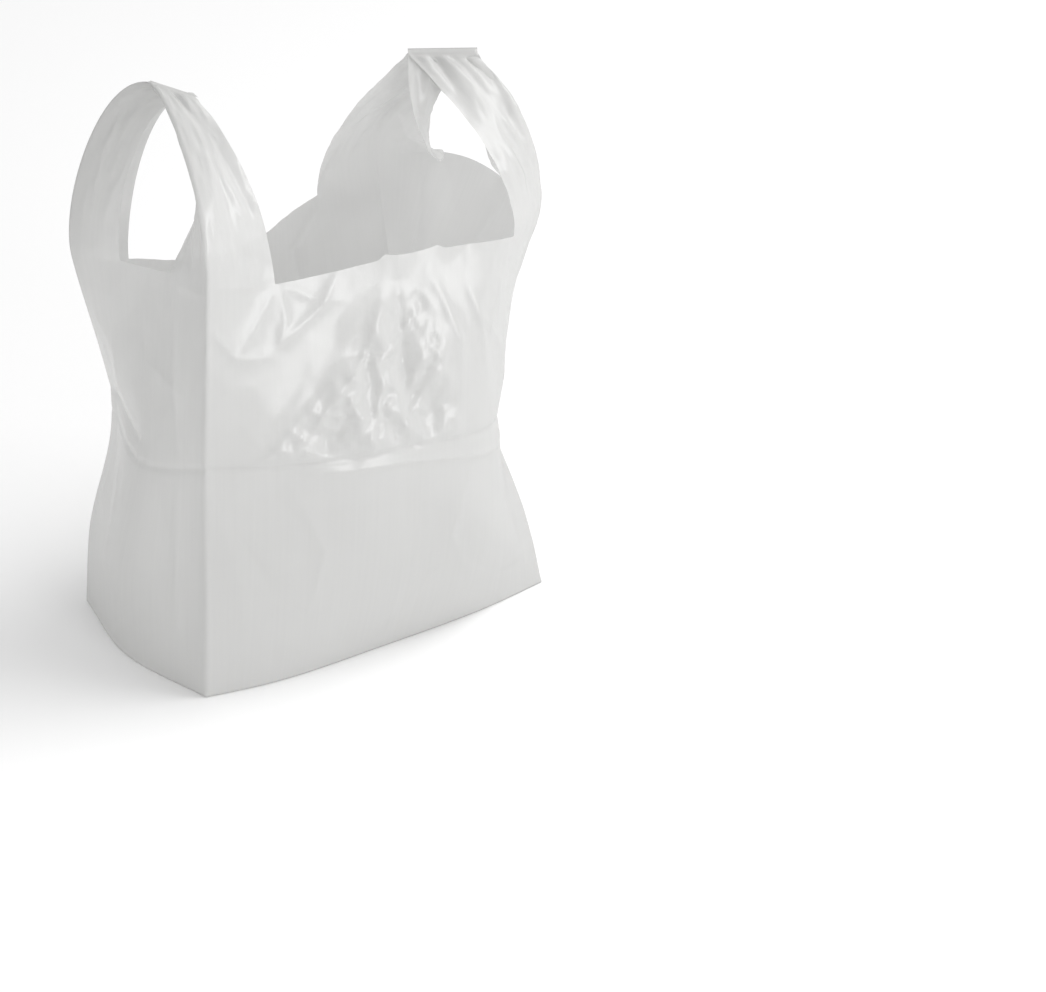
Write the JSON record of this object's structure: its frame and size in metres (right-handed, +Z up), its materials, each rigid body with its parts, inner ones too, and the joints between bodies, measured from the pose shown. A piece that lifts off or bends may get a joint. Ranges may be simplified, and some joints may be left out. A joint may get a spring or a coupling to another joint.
{
  "type": "plastic carrier bag",
  "caption": "Opened white vest carrier bag of thin polythene film, with side gussets, a squared base and a loop handle at each side of an open mouth.",
  "frame": {"origin": "centre of the squared base, on the surface that the bag stands on", "axes": "+Z up, +X along the front panel from the left handle to the right handle, -Y towards the front panel"},
  "size_m": [0.3057, 0.2191, 0.4311],
  "materials": {
    "film": "thin translucent white blown polythene film with soft gloss and packing creases"
  },
  "bodies": {
    "root": {"carrier_bag": "film"}
  },
  "joints": []
}
